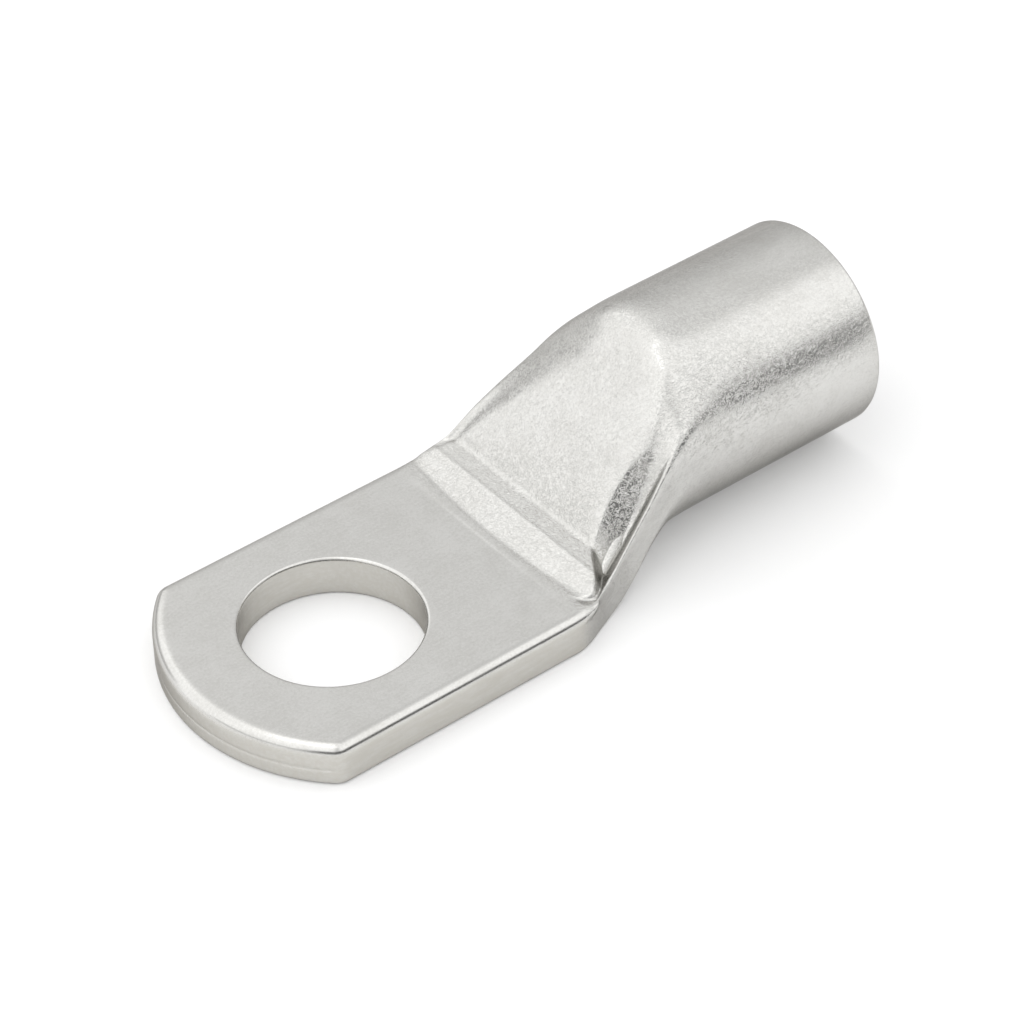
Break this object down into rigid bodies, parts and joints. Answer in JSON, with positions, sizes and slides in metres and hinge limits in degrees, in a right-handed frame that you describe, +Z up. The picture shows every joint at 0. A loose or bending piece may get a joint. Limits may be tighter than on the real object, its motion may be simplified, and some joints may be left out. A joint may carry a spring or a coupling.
{
  "type": "tubular cable lug",
  "caption": "Tinned copper tube lug: a round barrel that a stranded conductor is crimped into, pressed flat at the other end into a palm with a bolt hole.",
  "frame": {"origin": "centre of the bolt hole on the underside of the palm", "axes": "+Z up along the bolt hole, out of the palm's top face; +X along the lug, out of the barrel's mouth; +Y across the palm"},
  "size_m": [0.0555, 0.0214, 0.016],
  "materials": {
    "tinned_copper": "satin electro-tinned copper, finely rubbed and speckled on the formed neck and barrel"
  },
  "bodies": {
    "root": {"lug": "tinned_copper"}
  },
  "joints": []
}
